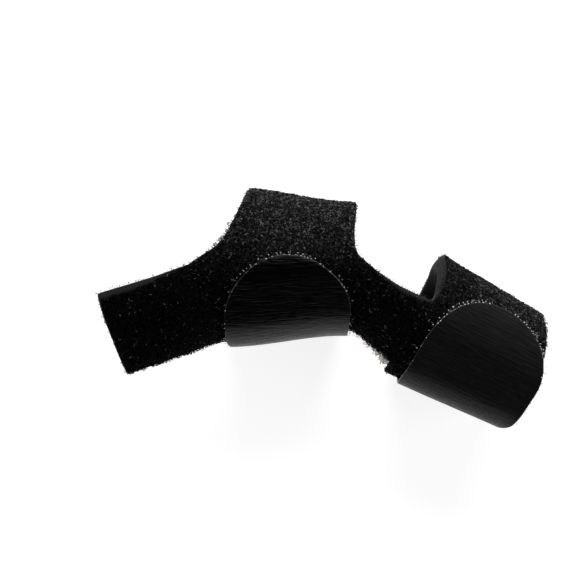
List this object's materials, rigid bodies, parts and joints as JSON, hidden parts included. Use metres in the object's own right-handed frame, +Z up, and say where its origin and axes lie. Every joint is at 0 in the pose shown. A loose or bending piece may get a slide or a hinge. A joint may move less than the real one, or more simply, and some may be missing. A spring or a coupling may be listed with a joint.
{
  "type": "finger splint",
  "caption": "Loop fabric finger splint in its worn shape: a side strip with wings round the finger, closed by hook tape tabs.",
  "frame": {"origin": "under the middle of the splint's box, on the surface that it lies on, outer side down", "axes": "+X along the proximal loop towards the fingertip, +Y to the back of the finger, +Z up from the side that it lies on"},
  "size_m": [0.0914, 0.0484, 0.0295],
  "materials": {
    "loop_fabric": "brushed loop pile on foam, black, matt",
    "hook_tape": "smooth ribbed back of woven nylon hook tape, black, satin"
  },
  "bodies": {
    "root": {"brace_body": "loop_fabric", "proximal_hook_tab": "hook_tape", "distal_hook_tab": "hook_tape"}
  },
  "joints": []
}
